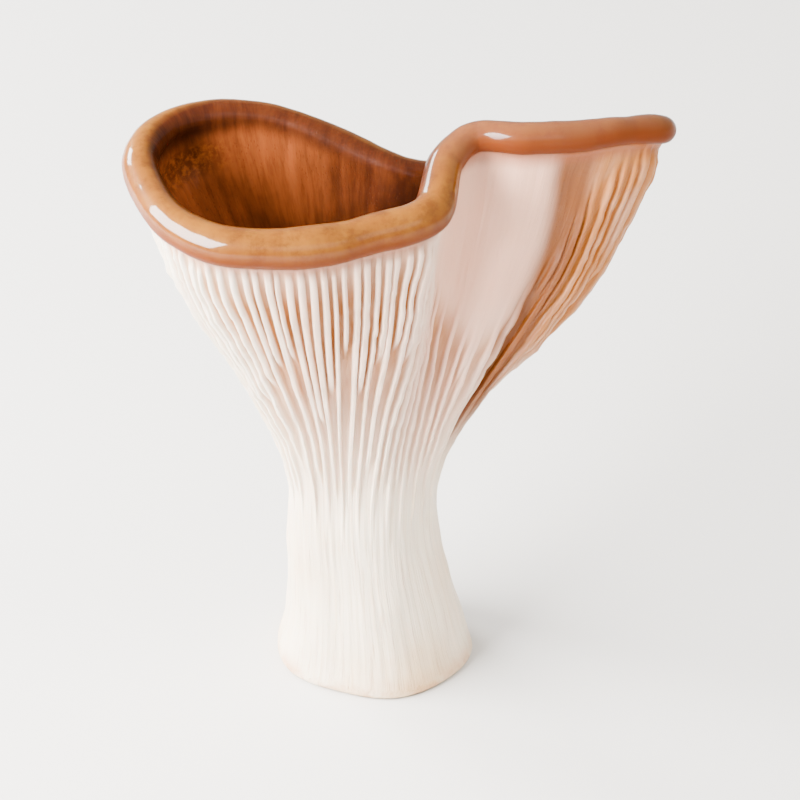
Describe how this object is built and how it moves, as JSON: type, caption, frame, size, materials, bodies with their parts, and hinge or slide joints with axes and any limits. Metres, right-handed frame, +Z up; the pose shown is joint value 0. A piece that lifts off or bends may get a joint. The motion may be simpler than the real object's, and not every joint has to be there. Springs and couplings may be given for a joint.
{
  "type": "giant funnel mushroom",
  "caption": "Whole fresh giant funnel mushroom: brown, deeply funnelled cap with a rolled, wavy edge, and pale gills running down into a stout stem cut flat at the foot.",
  "frame": {"origin": "middle of the mushroom's box in plan, at the level of the cut foot that it stands on", "axes": "+Z up from the cut foot to the mouth of the funnel; +X towards the mouth's narrow lobe; +Y towards the back of the mouth"},
  "size_m": [0.0746, 0.0354, 0.0869],
  "materials": {
    "mushroom_flesh": "satin"
  },
  "bodies": {
    "root": {"mushroom": "mushroom_flesh"}
  },
  "joints": []
}
